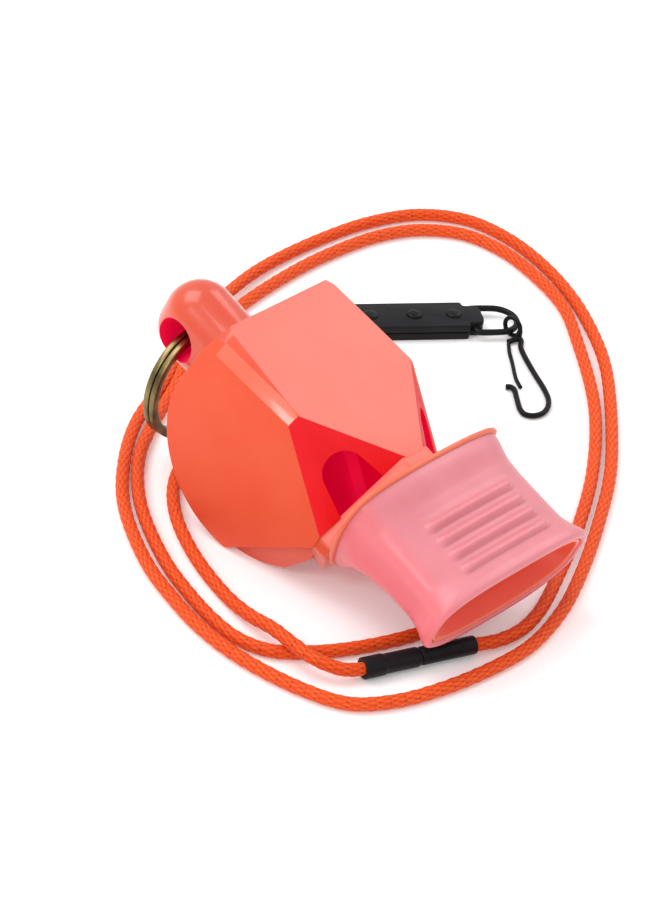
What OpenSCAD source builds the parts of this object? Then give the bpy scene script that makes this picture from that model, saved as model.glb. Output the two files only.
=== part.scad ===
// Pealess training whistle with a rubber mouth grip, hung by a split ring,
// lying with its breakaway lanyard: cord, tab, flip ring and wire hook.
// Units are millimetres, +Z is up, the ground is z = 0.

/* [View] */
// Piece to draw, or all

/* [Whistle body] */
// Radius of the round belly
belly_r = 12.5; // [11:0.1:14]
// Belly centre, forward of the rear top edge
belly_x = 12; // [10:0.5:14]
// Belly centre, below the top face
belly_drop = 9.5; // [8:0.5:11]
// Half width of the core between the two covers
core_half = 9.2; // [8.5:0.1:10]
// Thickness of each side cover
cover_t = 1.2; // [1:0.1:1.6]
// Rounding of each cover's outer rim
cover_round = 0.6; // [0.4:0.1:1.1]
// Wall of the sound chambers
wall = 1.4; // [1.2:0.1:2]
// Half width of the middle chamber
mid_half = 2.9; // [2.5:0.1:3.2]
// Wall between middle and side chambers
partition = 1.0; // [0.8:0.1:1.4]
// Height of the three wind ways
slit_h = 1.6; // [1.2:0.1:2]

/* [Sound windows] */
// Radius of each arched window
window_r = 2.5; // [2.2:0.1:2.8]
// Length of each window forward of its arch
window_run = 4.5; // [3.5:0.1:5]

/* [Flange] */
// Rear face of the flange
flange_x = 25.2; // [24.8:0.1:25.6]
// Thickness of the flange
flange_t = 0.6; // [0.5:0.1:1]

/* [Lug and split ring] */
// Radius of the lug's rounded end
lug_r = 4.1; // [3.6:0.1:4.4]
// Lug hole radius
lug_hole_r = 2.05; // [1.8:0.05:2.3]
// Lug hole radius at its two mouths
lug_mouth_r = 2.85; // [2.6:0.05:3]
// Split ring outer radius
ring_r = 7; // [6:0.1:8]
// Width of the ring's flat wire
ring_wire = 1; // [0.8:0.1:1.2]
// Thickness of one turn of the ring
ring_turn = 0.8; // [0.6:0.1:1]
// Gap between the two turns
ring_gap = 0.1; // [0.05:0.05:0.2]

/* [Mouth grip] */
// Gap between the grip's bore and the mouthpiece
grip_gap = 0.02; // [0.01:0.01:0.05]
// Number of raised bars on each face of the grip
ridges = 4; // [3:1:5]
// Half length of each raised bar
ridge_half = 6.9; // [5:0.1:8]
// Radius of each raised bar
ridge_r = 0.5; // [0.4:0.05:0.7]

/* [Rest position] */
// Nose down tilt on its belly and lip
rest_tilt = 21.5; // [18:0.5:25]
// Where the belly stands along X
rest_x = -3.67; // [-6:0.01:0]

/* [Lanyard] */
// Cord diameter
cord_d = 1.6; // [1.4:0.1:2]
// Radius of the breakaway socket
socket_r = 1.15; // [1.1:0.05:1.3]
// Radius of the breakaway plug
plug_r = 1.05; // [1:0.05:1.2]
// Width of the flat tab
tab_w = 5.4; // [5:0.1:6.5]
// Length of the flat tab
tab_l = 17; // [15:0.5:19]
// Thickness of the flat tab
tab_t = 2; // [1.8:0.1:2.6]
// Wire diameter of the flip ring
flip_d = 0.8; // [0.7:0.05:0.9]
// Wire diameter of the hook
hook_d = 0.7; // [0.6:0.05:0.8]
// Wire diameter of the hook's gate
gate_d = 0.5; // [0.4:0.05:0.6]

/* [Hidden] */
$fn = 64;

belly_z = -belly_drop;
outer_half = core_half + cover_t;
// The sloping front corners: outward normal's heading and lean, and distance from the origin.
facet_turn = -51.48;
facet_lean = 52.1;
facet_d = 12.3;
facet_wall = 1.2;
// The slanted strip between the top face and each side: the same three numbers.
rim_turn = -94.6;
rim_lean = 47;
rim_d = 6.02;
// The sloping corners end at the neck. Covers end there too, above a sloping lower edge.
neck_x = 23.4;
cover_front = 23.4;
slope_low = [14.8, -21.7];
slope_high = [25.5, -8.5];
// Lug hole and rounded end, in the whistle's own frame.
lug_hole = [-6.4, -12.4];
lug_end_x = -6.9;
lug_low_z = -12.4;
lug_high_z = -10.5;
// Lug hole after the whistle is laid down, and how far the ring's centre hangs below it.
ring_x = (lug_hole[0] - belly_x) * cos(rest_tilt) + (lug_hole[1] - belly_z) * sin(rest_tilt) + rest_x;
ring_top = -(lug_hole[0] - belly_x) * sin(rest_tilt) + (lug_hole[1] - belly_z) * cos(rest_tilt) + belly_r;
ring_hang = 6.9;
// Sections of the grip: x, half width, bottom, top, forward lean of the section.
grip_form = [[25.8, 11.9, -13.0, 1.9, 0], [26.4, 11.85, -12.2, 1.7, 0], [27.0, 11.8, -11.5, 1.5, 0],
             [28.0, 11.7, -10.5, 1.3, 0], [29.5, 11.65, -9.5, 1.1, 0], [31.0, 11.6, -8.9, 0.9, 0],
             [33.0, 11.6, -8.4, 0.8, 0.01], [35.3, 11.6, -8.2, 0.8, 0.02], [37.5, 11.7, -8.2, 0.8, 0.03],
             [38.9, 12.1, -8.3, 1.0, 0.04], [39.75, 12.5, -8.5, 1.2, 0.05], [40.4, 12.75, -8.5, 1.2, 0.05],
             [40.8, 12.55, -8.3, 1.0, 0.05]];
// Sections of the mouthpiece inside the grip, flaring to the lip.
tube_form = [[25.2, 10.2, -11.0, -0.5, 0], [26.4, 10.2, -10.4, -0.6, 0], [28.0, 10.2, -9.2, -0.7, 0],
             [31.0, 10.1, -7.8, -0.8, 0], [35.3, 10.2, -7.2, -0.8, 0.02], [37.7, 10.3, -7.2, -0.8, 0.03],
             [39.1, 10.8, -7.4, -0.5, 0.04], [39.95, 11.4, -7.6, 0.0, 0.05], [40.7, 11.8, -7.6, 0.3, 0.05]];
// The bore runs on past the lip.
bore_form = concat([[24, 10.2, -11.0, -0.5, 0]], tube_form, [[43.8, 11.9, -7.7, 0.4, 0.05]]);
// Mouth opening in the mouthpiece.
mouth_form = [[35.9, 9.2, -6.3, -1.7, 0.02], [38.1, 9.4, -6.4, -1.6, 0.04], [39.5, 10.4, -6.8, -0.9, 0.05],
              [40.55, 11.2, -7.1, -0.2, 0.05], [43.8, 11.4, -7.2, -0.1, 0.05]];
grip_corner = 3.3;
grip_sides = 36;
ridge_x = 31.9;
ridge_step = 1.97;

// Breakaway connector: where it parts, and its heading.
snap = [22.2, -9.9];
snap_turn = 69.1;
snap_z = 1.25;
// Tab: middle of its ring end, and its heading.
tab_end = [-17.5, 48.5];
tab_turn = 54.4;
flip_z = tab_t / 2;
flip_bar = -1.2;
tongue_half = 1.9;
flip_out = 1.8;
flip_half = 2.64;
// The hook's eye sits on the flip ring at this angle round its curved end.
eye_at = -53.8;
eye_z = 1.43;
eye_r = 1.15;
eye_wire = 0.28;
hook_z = 0.4;

// The long cord: plug, round the far side, past the lug, near side, once more round,
// under the grip and back behind the whistle to the tab.
long_route = [[24.34, -4.43, 1.25], [24.70, -3.50, 1.25], [25.77, -0.70, 1.15], [26.0, 3.0, 0.95],
              [25.0, 7.5, 0.8], [21.6, 15.5, 0.8], [18.2, 22.5, 0.8], [11.5, 34, 0.8],
              [3, 45, 0.8], [-7.5, 54.8, 0.8], [-13.5, 59.5, 0.8], [-20, 62.2, 0.8], [-26.5, 63.5, 0.8],
              [-32, 62.6, 0.8], [-36, 59, 0.8], [-38.3, 53.5, 0.8], [-39.3, 44, 0.8], [-38.8, 34, 0.8],
              [-37.2, 24, 0.8], [-35.0, 15.5, 0.8], [-31.6, 6.9, 0.8], [-28.5, -0.5, 0.8],
              [-23.9, -7.4, 0.8], [-17.8, -13.9, 0.8], [-8.5, -20, 0.8], [-2.6, -22.4, 0.8],
              [3.3, -24.1, 0.8], [10, -24.7, 0.8], [18, -23.6, 0.8], [22.6, -21.6, 0.8],
              [25.4, -17.5, 0.8], [27.3, -11.5, 0.8], [28.4, -4, 0.8], [28.4, 2, 0.8], [26.6, 9.5, 0.8],
              [23.4, 17, 0.8], [18.4, 26.5, 0.8], [12.6, 36, 0.8], [3, 48, 0.8], [-2.5, 53.8, 0.8],
              [-8, 58.2, 0.8], [-14, 62, 0.8], [-21, 65, 0.8], [-28, 66.4, 0.8], [-34, 65.6, 0.8],
              [-38.6, 61.6, 0.8], [-41.2, 55, 0.8], [-42.3, 46, 0.8], [-42, 36, 1.0], [-40.2, 28, 1.5],
              [-37.4, 21, 2.4], [-35.4, 17.2, 2.55], [-33.4, 13.8, 2.3], [-30.9, 9, 1.3],
              [-28.6, 4, 0.8], [-26.3, -0.7, 0.8], [-22.9, -6.1, 0.8], [-16.9, -12.2, 0.8],
              [-7.8, -18, 0.8], [-1.8, -20.5, 0.8], [3.3, -22, 0.8], [7.4, -22.4, 0.8],
              [11.0, -21.2, 0.8], [14.2, -17.6, 0.8], [17.2, -12, 0.8], [19.4, -5, 0.8], [19.8, 1, 0.8],
              [17.8, 8, 0.8], [13, 13.6, 0.8], [5.5, 17.6, 0.8], [-3, 20.4, 0.8], [-14, 22.6, 0.8],
              [-21.4, 25.4, 0.8], [-24.9, 29.6, 0.9], [-27.08, 32.97, 1], [-26.40, 33.92, 1]];
// The short cord: socket, over the long cord, behind the body to the tab.
short_route = [[19.90, -16.04, 1.25], [19.54, -16.97, 1.3], [18.6, -18.6, 1.6], [16.2, -20.1, 2.2],
               [13.2, -20.3, 2.5], [9.6, -19.6, 2.2], [5.6, -18.8, 1.3], [1.4, -17.7, 0.8],
               [-6, -14.9, 0.8], [-13, -10.6, 0.8], [-17.4, -6, 0.8], [-20.4, 0, 0.8],
               [-22.6, 8, 0.8], [-25, 16, 0.8], [-27.9, 24, 0.8], [-29.5, 30, 0.85],
               [-29.11, 34.43, 1], [-28.43, 35.38, 1]];

// --- helpers -------------------------------------------------------------------------

// Extrude a side profile (x, z) across the whistle, from y0 to y1.
module along_y(y0, y1) {
    translate([0, y1, 0])
        rotate([90, 0, 0])
            linear_extrude(y1 - y0)
                children();
}

// Extrude a front profile (y, z) forward from x0 to x1.
module along_x(x0, x1) {
    translate([x0, 0, 0])
        rotate([90, 0, 90])
            linear_extrude(x1 - x0)
                children();
}

// Lay the whistle down: belly on the ground, nose down.
module at_rest() {
    translate([rest_x, 0, belly_r])
        rotate([0, rest_tilt, 0])
            translate([-belly_x, 0, -belly_z])
                children();
}

function sgn(v) = v < 0 ? -1 : 1;
function unit(v) = v / norm(v);

// Point t degrees round one rounded section.
function section_point(s, t, n, grow) =
    let (y = (s[1] + grow) * sgn(cos(t)) * pow(abs(cos(t)), 2 / n),
         z = (s[2] + s[3]) / 2 + ((s[3] - s[2]) / 2 + grow) * sgn(sin(t)) * pow(abs(sin(t)), 2 / n),
         bow = 1 - 0.6 * pow(y / (s[1] + grow), 2))
    [s[0] + s[4] * (0.9 - z) * bow, y, z];

// Triangles over a stack of rings of k points, closed at both ends by a centre point.
function skin_faces(rings, k) = concat(
    [for (r = [0 : rings - 2], i = [0 : k - 1])
        [r * k + i, (r + 1) * k + (i + 1) % k, r * k + (i + 1) % k]],
    [for (r = [0 : rings - 2], i = [0 : k - 1])
        [r * k + i, (r + 1) * k + i, (r + 1) * k + (i + 1) % k]],
    [for (i = [0 : k - 1]) [rings * k, i, (i + 1) % k]],
    [for (i = [0 : k - 1]) [rings * k + 1, (rings - 1) * k + (i + 1) % k, (rings - 1) * k + i]]);

function ring_mean(points, from, k) = [for (a = [0 : 2])
    let (v = [for (i = [from : from + k - 1]) points[i][a]]) total(v) / k];
function total(v, i = 0) = i == len(v) ? 0 : v[i] + total(v, i + 1);

// Smooth body through a list of sections.
module loft(form, grow = 0) {
    k = grip_sides;
    points = [for (s = form, i = [0 : k - 1]) section_point(s, i * 360 / k, grip_corner, grow)];
    ends = [ring_mean(points, 0, k), ring_mean(points, (len(form) - 1) * k, k)];
    polyhedron(concat(points, ends), skin_faces(len(form), k), convexity = 6);
}

// Heading of a route at point i.
function heading(route, i) =
    unit(route[min(i + 1, len(route) - 1)] - route[max(i - 1, 0)]);

// Round bar swept through a list of points.
module sweep(route, r, k = 8) {
    points = [for (i = [0 : len(route) - 1], j = [0 : k - 1])
        let (t = heading(route, i),
             s = unit(cross([0, 0, 1], t)),
             u = cross(t, s),
             a = (j + 0.5) * 360 / k)
        route[i] + r * (cos(a) * s + sin(a) * u)];
    last = len(route) - 1;
    polyhedron(concat(points, [route[0], route[last]]), skin_faces(len(route), k), convexity = 10);
}

// --- whistle -------------------------------------------------------------------------

// Everything outside one sloping front corner, moved in by an amount.
module beyond_facet(inset = 0) {
    rotate([0, facet_lean, facet_turn])
        translate([-30, -30, facet_d - inset])
            cube([60, 60, 30]);
}

// Everything outside the slanted strip between the top face and one side.
module beyond_rim() {
    rotate([0, rim_lean, rim_turn])
        translate([-30, -30, rim_d])
            cube([60, 60, 30]);
}

module both_sides() {
    children();
    mirror([0, 1, 0])
        children();
}

// Side outline of the housing: round belly, flat top, straight rear edge.
module housing_outline() {
    intersection() {
        union() {
            translate([belly_x, belly_z])
                circle(belly_r, $fn = 96);
            polygon([[0.4, 0], [neck_x, 0], [neck_x, -14], [21.4, -17.9], [12, -9.5], [-0.5, -8.5]]);
        }
        translate([-20, -40])
            square([20 + neck_x, 40]);
    }
}

// Side outline of a cover, pulled in at its rim by an amount.
module cover_outline(inset) {
    intersection() {
        union() {
            translate([belly_x, belly_z])
                circle(belly_r - inset, $fn = 72);
            polygon([[0.4 + inset, -inset], [cover_front, -inset], [cover_front, -9.5],
                     [-0.5 + inset, -8.5]]);
        }
        polygon([[-20, -inset], [cover_front, -inset],
                 [cover_front, slope_high[1] - 2.6 + inset * 0.6],
                 [slope_low[0] - inset * 0.8, slope_low[1] + inset * 0.7], [0, -40], [-20, -40]]);
    }
}

// Chamber between y0 and y1, inside the walls.
module chamber(y0, y1) {
    difference() {
        along_y(y0, y1)
            intersection() {
                translate([belly_x, belly_z])
                    circle(belly_r - wall, $fn = 72);
                // under the top face, and above the covers' sloping edge
                polygon([[-20, -wall], [29.75, -wall], [1.27, -36.5], [-20, -36.5]]);
            }
        beyond_facet(facet_wall);
    }
}

// Arched opening that widens towards the flange.
module window_cut() {
    flare = 13.5;
    wide = window_r + window_run * sin(flare);
    rotate([0, facet_lean, facet_turn])
        translate([13.61, 11.74, facet_d - 3.6])
            rotate([0, 0, 58.7]) {
                cylinder(h = 6, r = window_r);
                linear_extrude(6)
                    polygon([window_r * [-sin(flare), cos(flare)],
                             [window_run, 0] + wide * [-sin(flare), cos(flare)],
                             [window_run, 0] + wide * [-sin(flare), -cos(flare)],
                             window_r * [-sin(flare), -cos(flare)]]);
            }
}

module lug() {
    for (z = [lug_low_z, lug_high_z])
        translate([lug_end_x, 0, z]) {
            sphere(lug_r);
            rotate([0, 90, 0])
                cylinder(h = 9, r = lug_r);
        }
    translate([lug_end_x, 0, lug_low_z])
        cylinder(h = lug_high_z - lug_low_z, r = lug_r);
    translate([lug_end_x, -lug_r, lug_low_z])
        cube([9, 2 * lug_r, lug_high_z - lug_low_z]);
}

module lug_hole_cut() {
    translate([lug_hole[0], 5, lug_hole[1]])
        rotate([90, 0, 0])
            cylinder(h = 10, r = lug_hole_r);
    both_sides()
        translate([lug_hole[0], -lug_r + 1.5, lug_hole[1]])
            rotate([90, 0, 0])
                cylinder(h = 1.5, r1 = lug_hole_r, r2 = lug_mouth_r);
}

// Half of the flange's crowned outline: half width, height.
flange_edge = [[0, 2.35], [3, 2.3], [5.8, 2.1], [8, 1.75], [9.8, 1.3], [11, 0.7], [11.8, -0.1],
               [12.2, -1.3], [12.3, -2.8], [12.1, -4.8], [11.6, -6.6], [10.9, -8.6], [10.1, -10.4],
               [9.1, -12], [7.9, -13], [6.4, -13.6], [4, -13.9], [0, -14]];

// Both halves of an edge list, pulled in by a share.
function whole(edge, share) = concat(
    [for (p = edge) [p[0] * share, -5.6 + (p[1] + 5.6) * share]],
    [for (i = [len(edge) - 2 : -1 : 1]) [-edge[i][0] * share, -5.6 + (edge[i][1] + 5.6) * share]]);

module flange_plate(x0, x1) {
    along_x(x0, x1)
        polygon(whole(flange_edge, 1));
}

// Straight neck between the sloping corners and the flange.
module collar() {
    along_x(neck_x - 0.1, flange_x)
        polygon([[-2.2, 0], [2.2, 0], [10.3, -9.4], [10.35, -11], [8.7, -14], [-8.7, -14],
                 [-10.35, -11], [-10.3, -9.4]]);
}

module body_core() {
    color([0.98, 0.42, 0.22])
        at_rest()
            difference() {
                union() {
                    difference() {
                        along_y(-core_half, core_half)
                            housing_outline();
                        both_sides()
                            beyond_facet();
                        both_sides()
                            beyond_rim();
                        both_sides()
                            window_cut();
                    }
                    lug();
                    collar();
                    flange_plate(flange_x, flange_x + flange_t);
                    loft(tube_form);
                }
                lug_hole_cut();
                both_sides()
                    chamber(-core_half - 1, -mid_half - partition);
                chamber(-mid_half, mid_half);
                // middle chamber's window, under the flange
                translate([20.2, -mid_half, -20])
                    cube([3.2, 2 * mid_half, 9]);
                // side wind ways
                both_sides()
                    translate([21, mid_half + partition, -4.2 - slit_h / 2])
                        cube([16, 5.1, slit_h]);
                // middle wind way
                translate([22.3, -mid_half, -8.6])
                    rotate([0, -15.2, 0])
                        translate([0, 0, -slit_h / 2])
                            cube([15.5, 2 * mid_half, slit_h]);
                loft(mouth_form);
            }
}

module cover_shape() {
    difference() {
        hull()
            for (a = [0 : 22.5 : 90])
                translate([0, -core_half - cover_t + cover_round * (1 - sin(a)), 0])
                    rotate([90, 0, 0])
                        translate([0, 0, -0.01])
                            linear_extrude(0.01)
                                cover_outline(cover_round * (1 - cos(a)));
        translate([-30, -core_half, -60])
            cube([90, 20, 90]);
        beyond_facet();
        beyond_rim();
    }
}

// The hull above runs from the rim's start to the outer face; this adds the seat below it.
module cover() {
    intersection() {
        union() {
            cover_shape();
            difference() {
                along_y(-core_half - cover_t + cover_round, -core_half)
                    cover_outline(0);
                beyond_facet();
                beyond_rim();
            }
        }
        translate([-30, -30, -60])
            cube([30 + cover_front, 60, 90]);
    }
}

module left_cover() {
    color([0.97, 0.36, 0.16])
        at_rest()
            cover();
}

module right_cover() {
    color([0.97, 0.36, 0.16])
        at_rest()
            mirror([0, 1, 0])
                cover();
}

module mouth_grip() {
    color([0.96, 0.55, 0.6])
        at_rest()
            difference() {
                union() {
                    loft(grip_form);
                    for (i = [0 : ridges - 1])
                        translate([ridge_x + i * ridge_step, 0, 0]) {
                            ridge_bar(0.85);
                            ridge_bar(-8.35);
                        }
                }
                loft(bore_form, grip_gap);
            }
}

// Raised bar across the grip, rounded off at both ends.
module ridge_bar(z) {
    k = 10;
    ends = [[-ridge_half - 0.45, 0.1], [-ridge_half - 0.3, 0.38], [-ridge_half, 1], [ridge_half, 1],
            [ridge_half + 0.3, 0.38], [ridge_half + 0.45, 0.1]];
    points = [for (e = ends, i = [0 : k - 1])
        [-ridge_r * e[1] * cos((i + 0.5) * 360 / k), e[0], z + ridge_r * e[1] * sin((i + 0.5) * 360 / k)]];
    polyhedron(concat(points, [[0, ends[0][0], z], [0, ends[5][0], z]]), skin_faces(6, k));
}

module split_ring() {
    half = ring_turn + ring_gap / 2;
    color([0.62, 0.5, 0.26])
        translate([ring_x, 0, ring_top - ring_hang])
            rotate([0, 90, 0])
                difference() {
                    rotate_extrude($fn = 96)
                        translate([ring_r - ring_wire, -half])
                            square([ring_wire, 2 * half]);
                    // the gap between the turns, closed only where the wire crosses over
                    difference() {
                        translate([0, 0, -ring_gap / 2])
                            cylinder(h = ring_gap, r = ring_r + 1);
                        translate([0, 0, -1])
                            rotate([0, 0, 20])
                                cube([20, 3.2, 2]);
                    }
                }
}

// --- lanyard -------------------------------------------------------------------------

module cord_long() {
    color([0.98, 0.42, 0.12])
        sweep(long_route, cord_d / 2);
}

module cord_short() {
    color([0.98, 0.42, 0.12])
        sweep(short_route, cord_d / 2);
}

// Connector frame: X runs from the parting face into the plug.
module snap_frame() {
    translate([snap[0], snap[1], snap_z])
        rotate([0, 0, snap_turn])
            children();
}

module round_bar(x0, x1, r0, r1) {
    translate([x0, 0, 0])
        rotate([0, 90, 0])
            cylinder(h = x1 - x0, r1 = r0, r2 = r1, $fn = 40);
}

module breakaway_socket() {
    color([0.06, 0.06, 0.07])
        snap_frame()
            difference() {
                union() {
                    round_bar(-6.9, -4.4, 1.25, 1.25);
                    round_bar(-4.5, -0.3, socket_r, socket_r);
                    round_bar(-0.31, 0, socket_r, socket_r - 0.15);
                }
                round_bar(-3.5, 1, 0.66, 0.66);
                round_bar(-7.5, -5.9, 0.8, 0.8);
            }
}

module breakaway_plug() {
    color([0.06, 0.06, 0.07])
        snap_frame()
            difference() {
                union() {
                    round_bar(-3.0, 0.2, 0.6, 0.6);
                    round_bar(0.02, 0.3, 0.9, plug_r);
                    round_bar(0.29, 6.85, plug_r, plug_r);
                }
                round_bar(2.6, 8, 0.86, 0.86);
            }
}

// Tab frame: X runs along the tab, out of its ring end.
module tab_frame() {
    translate([tab_end[0], tab_end[1], 0])
        rotate([0, 0, tab_turn])
            children();
}

module tab_plate(z0, z1) {
    r = 1.2;
    difference() {
        union() {
            translate([-tab_l, r - tab_w / 2, z0])
                cube([tab_l, tab_w - 2 * r, z1 - z0]);
            translate([r - tab_l, -tab_w / 2, z0])
                cube([tab_l - 2 * r, tab_w, z1 - z0]);
            for (x = [r - tab_l, -r], y = [r - tab_w / 2, tab_w / 2 - r])
                translate([x, y, z0])
                    cylinder(h = z1 - z0, r = r, $fn = 32);
        }
        // bore for the flip ring's bar, through the tongue between two notches
        translate([flip_bar, 4, flip_z])
            rotate([90, 0, 0])
                cylinder(h = 8, r = flip_d / 2 + 0.05, $fn = 32);
        for (y = [-tab_w, tongue_half])
            translate([flip_bar - 0.8, y, -1])
                cube([4, tab_w - tongue_half, 5]);
        // rivet holes
        for (x = rivet_x)
            translate([x, 0, -1])
                cylinder(h = 5, r = 0.71, $fn = 24);
    }
}

rivet_x = [-14, -8.5, -3.6];

module tab_lower_shell() {
    color([0.07, 0.07, 0.08])
        tab_frame()
            tab_plate(0, tab_t / 2);
}

module tab_upper_shell() {
    color([0.07, 0.07, 0.08])
        tab_frame()
            tab_plate(tab_t / 2, tab_t);
}

module tab_rivets() {
    color([0.2, 0.2, 0.21])
        tab_frame()
            for (x = rivet_x)
                translate([x, 0, 0.3]) {
                    cylinder(h = tab_t - 0.3, r = 0.7, $fn = 24);
                    translate([0, 0, tab_t - 0.3])
                        cylinder(h = 0.35, r1 = 1.1, r2 = 0.8, $fn = 24);
                }
}

// Centre line of the flip ring, in the tab's frame.
flip_line = concat(
    [[flip_bar, -flip_half + 0.5, flip_z], [flip_bar, 0, flip_z], [flip_bar, flip_half - 0.5, flip_z],
     [flip_bar + 0.15, flip_half - 0.15, flip_z], [flip_bar + 0.5, flip_half, flip_z]],
    [for (a = [90 : -15 : -90]) [flip_out + flip_half * cos(a), flip_half * sin(a), flip_z]],
    [[flip_bar + 0.5, -flip_half, flip_z], [flip_bar + 0.15, -flip_half + 0.15, flip_z]]);

// Round bar swept round a flat closed line.
module closed_sweep(line, r, k = 12) {
    n = len(line);
    points = [for (i = [0 : n - 1], j = [0 : k - 1])
        let (t = unit(line[(i + 1) % n] - line[(i + n - 1) % n]),
             s = cross([0, 0, 1], t),
             a = (j + 0.5) * 360 / k)
        line[i] + r * (cos(a) * s + sin(a) * [0, 0, 1])];
    faces = concat(
        [for (i = [0 : n - 1], j = [0 : k - 1])
            [i * k + j, ((i + 1) % n) * k + (j + 1) % k, i * k + (j + 1) % k]],
        [for (i = [0 : n - 1], j = [0 : k - 1])
            [i * k + j, ((i + 1) % n) * k + j, ((i + 1) % n) * k + (j + 1) % k]]);
    polyhedron(points, faces, convexity = 6);
}

module tab_ring() {
    color([0.09, 0.09, 0.1])
        tab_frame()
            closed_sweep(flip_line, flip_d / 2);
}

// Where the eye sits, in the ground frame.
eye_out = [flip_out + flip_half * cos(eye_at), flip_half * sin(eye_at)];
eye_pos = [tab_end[0] + eye_out[0] * cos(tab_turn) - eye_out[1] * sin(tab_turn),
           tab_end[1] + eye_out[0] * sin(tab_turn) + eye_out[1] * cos(tab_turn), eye_z];
// The eye's own axis follows the flip ring's wire.
eye_turn = tab_turn + eye_at;

bow_line = [[-12.9, 48.25, hook_z], [-12.65, 49.1, 0.45], [-12.35, 49.75, 0.55], [-11.95, 49.55, 0.5],
            [-11.2, 48.6, hook_z], [-10.1, 47.7, hook_z],
            [-6.7, 45.5, hook_z], [-3.2, 43.4, hook_z], [-1.6, 42.1, hook_z], [-0.6, 40.6, hook_z],
            [-0.3, 39.2, hook_z], [-0.7, 38.0, hook_z], [-1.5, 37.5, hook_z], [-2.4, 37.8, hook_z],
            [-4.3, 39.4, hook_z], [-5.7, 40.6, hook_z], [-6.3, 40.7, hook_z], [-6.7, 40.3, hook_z]];
// The gate turns about the foot of the bow's short leg.
gate_line = [[-12.5, 47.86, hook_z], [-12.0, 47.3, hook_z], [-11.2, 46.45, hook_z],
             [-9.7, 45.1, hook_z], [-6.9, 42.5, hook_z], [-5.5, 41.6, hook_z]];

module hook_bow() {
    color([0.08, 0.08, 0.09])
        union() {
            translate(eye_pos)
                rotate([0, 0, eye_turn])
                    rotate([90, 0, 0])
                        rotate_extrude($fn = 48)
                            translate([eye_r, 0])
                                circle(eye_wire, $fn = 20);
            sweep(bow_line, hook_d / 2, 12);
            translate([-12.6, 49.9, 0])
                cylinder(h = eye_z, r = 0.36, $fn = 24);
        }
}

module hook_gate() {
    color([0.08, 0.08, 0.09])
        sweep(gate_line, gate_d / 2, 12);
}

// --- draw ----------------------------------------------------------------------------

body_core();
left_cover();
right_cover();
mouth_grip();
split_ring();
cord_long();
cord_short();
breakaway_socket();
breakaway_plug();
tab_upper_shell();
tab_lower_shell();
tab_rivets();
tab_ring();
hook_bow();
hook_gate();
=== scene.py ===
"""Visual model of the training whistle and its breakaway lanyard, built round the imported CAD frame.

Shapes are written in millimetres and turned into metres as each mesh is made.
"""
import math

import bmesh
import bpy
from mathutils import Matrix, Quaternion, Vector


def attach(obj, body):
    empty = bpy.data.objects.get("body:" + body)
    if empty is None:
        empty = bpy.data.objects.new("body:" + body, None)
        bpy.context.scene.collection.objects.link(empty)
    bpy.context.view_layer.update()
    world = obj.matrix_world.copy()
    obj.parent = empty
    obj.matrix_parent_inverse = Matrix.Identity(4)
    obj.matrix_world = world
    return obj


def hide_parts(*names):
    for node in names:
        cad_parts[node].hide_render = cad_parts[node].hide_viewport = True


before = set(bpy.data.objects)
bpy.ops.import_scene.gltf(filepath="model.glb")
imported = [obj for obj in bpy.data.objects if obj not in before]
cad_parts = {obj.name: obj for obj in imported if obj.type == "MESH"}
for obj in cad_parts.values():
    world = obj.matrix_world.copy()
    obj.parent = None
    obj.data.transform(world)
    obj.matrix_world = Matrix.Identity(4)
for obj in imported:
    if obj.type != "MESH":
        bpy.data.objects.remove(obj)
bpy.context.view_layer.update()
MM = 0.001
scene = bpy.context.scene


# ---------------------------------------------------------------- camera
def make_camera():
    data = bpy.data.cameras.new("camera")
    data.lens = 176.0
    data.sensor_width = 36.0
    data.clip_start, data.clip_end = 0.01, 5.0
    cam = bpy.data.objects.new("camera", data)
    scene.collection.objects.link(cam)
    here = Vector((240.04, -324.89, 278.90)) * MM
    there = Vector((-2.28, 1.69, 10.0)) * MM
    cam.location = here
    cam.rotation_mode = "QUATERNION"
    roll = Quaternion((0, 0, 1), math.radians(8.68))
    cam.rotation_quaternion = (there - here).to_track_quat("-Z", "Y") @ roll
    scene.camera = cam


make_camera()


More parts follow.
